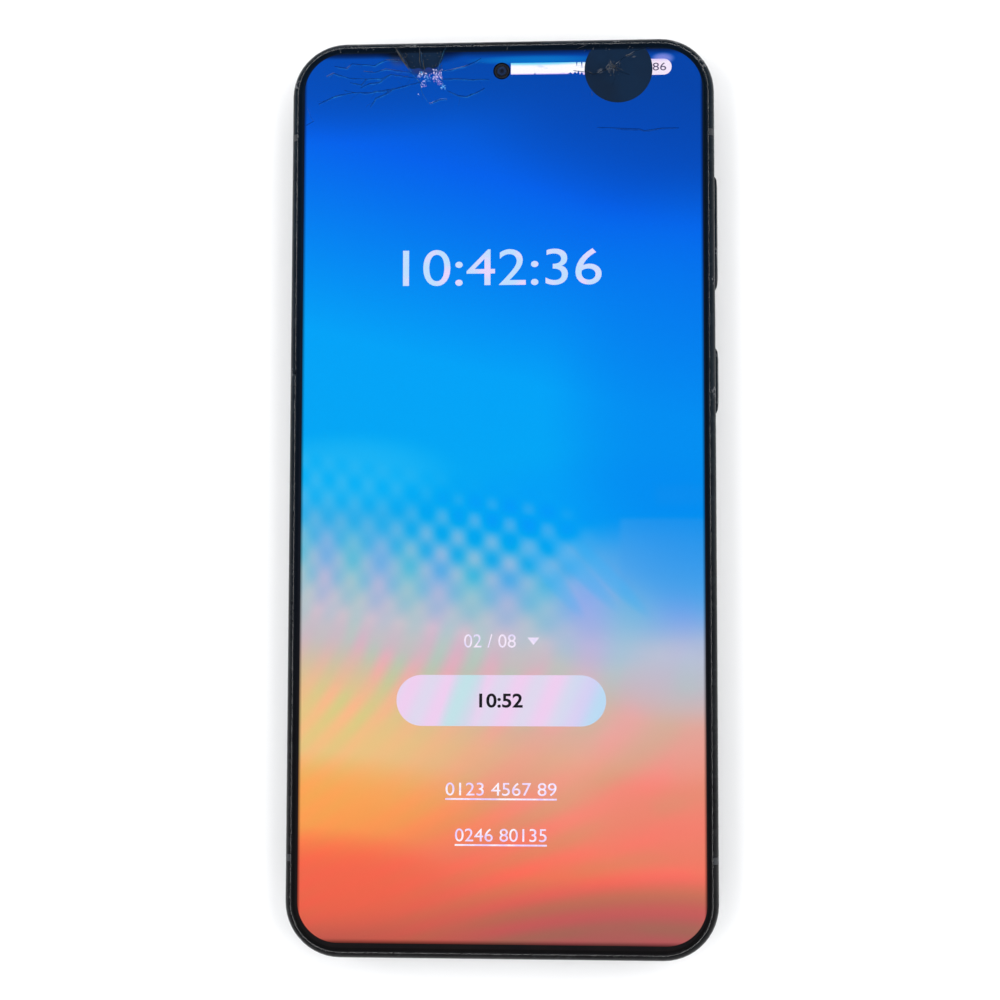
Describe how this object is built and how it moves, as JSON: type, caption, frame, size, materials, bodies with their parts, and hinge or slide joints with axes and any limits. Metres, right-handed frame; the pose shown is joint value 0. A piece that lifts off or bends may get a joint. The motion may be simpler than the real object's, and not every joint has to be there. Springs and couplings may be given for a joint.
{
  "type": "smartphone with shattered screen",
  "caption": "Flat smartphone lying screen up, its cover glass cracked and chipped along the top edge, with side keys, a card tray and a rear camera island.",
  "frame": {"origin": "middle of the phone's outline in X and Y, at the outer face of the camera island, on which it lies", "axes": "+X towards the side with the keys, +Y towards the top edge, +Z out of the screen"},
  "size_m": [0.0749, 0.16, 0.0089],
  "materials": {
    "black_metal": "satin",
    "insulator": "satin",
    "screen_glass": "polished, cracked",
    "display_face": "lit",
    "foil": "matt",
    "seal_tape": "matt",
    "flex_film": "satin",
    "module_black": "matt",
    "mesh": "woven",
    "back_glass": "gloss",
    "island_metal": "anodised",
    "lens_glass": "polished",
    "flash_lens": "frosted",
    "led": "matt",
    "board": "solder mask",
    "shield": "tinned",
    "chip": "moulded",
    "connector": "moulded",
    "bracket": "moulded",
    "screw_steel": "nickel plated",
    "cell": "wrapped",
    "cable_jacket": "jacket",
    "socket_steel": "stainless",
    "gasket": "matt",
    "mic_can": "gold plated",
    "speaker_box": "moulded",
    "motor_case": "stainless"
  },
  "bodies": {
    "housing": {"frame": "black_metal", "antenna_breaks": "insulator", "cover_glass": "screen_glass", "display_panel": "display_face", "display_backing": "foil", "display_seal": "seal_tape", "display_flex": "flex_film", "earpiece": "module_black", "earpiece_mesh": "mesh", "front_camera": "module_black", "back_cover": "back_glass", "back_seal": "seal_tape", "camera_bezel": "island_metal", "main_lens_window": "lens_glass", "wide_lens_window": "lens_glass", "tele_lens_window": "lens_glass", "flash_window": "flash_lens", "main_camera": "module_black", "wide_camera": "module_black", "tele_camera": "module_black", "flash_led": "led", "main_board": "board", "front_shield": "shield", "rear_shield": "shield", "processor": "chip", "storage_chip": "chip", "power_chip": "chip", "board_connectors": "connector", "upper_bracket": "bracket", "upper_screws": "screw_steel", "battery": "cell", "battery_flex": "flex_film", "main_flex": "flex_film", "antenna_cable": "cable_jacket", "sub_board": "board", "usb_socket": "socket_steel", "usb_seal": "gasket", "bottom_mic": "mic_can", "loudspeaker": "speaker_box", "speaker_mesh": "mesh", "vibration_motor": "motor_case", "lower_bracket": "bracket", "lower_screws": "screw_steel", "sim_reader": "shield", "key_switches": "flex_film", "key_stiffener": "shield"},
    "volume_rocker": {"volume_key": "black_metal"},
    "power_button": {"power_key": "black_metal"},
    "card_tray": {"sim_tray": "black_metal", "sim_seal": "gasket"}
  },
  "joints": [
    {"name": "volume_rock", "type": "hinge", "parent": "housing", "child": "volume_rocker", "pos_m": [0.0354, 0.0456, 0.0049], "axis": [0, 0, 1], "range_deg": [-1.4, 1.4], "stiffness_Nm_per_rad": 0.16},
    {"name": "power_press", "type": "slide", "parent": "housing", "child": "power_button", "axis": [-1, 0, 0], "range_m": [0, 0.0003], "stiffness_N_per_m": 2000},
    {"name": "card_tray_slide", "type": "slide", "parent": "housing", "child": "card_tray", "axis": [0, 1, 0], "range_m": [0, 0.024]}
  ]
}
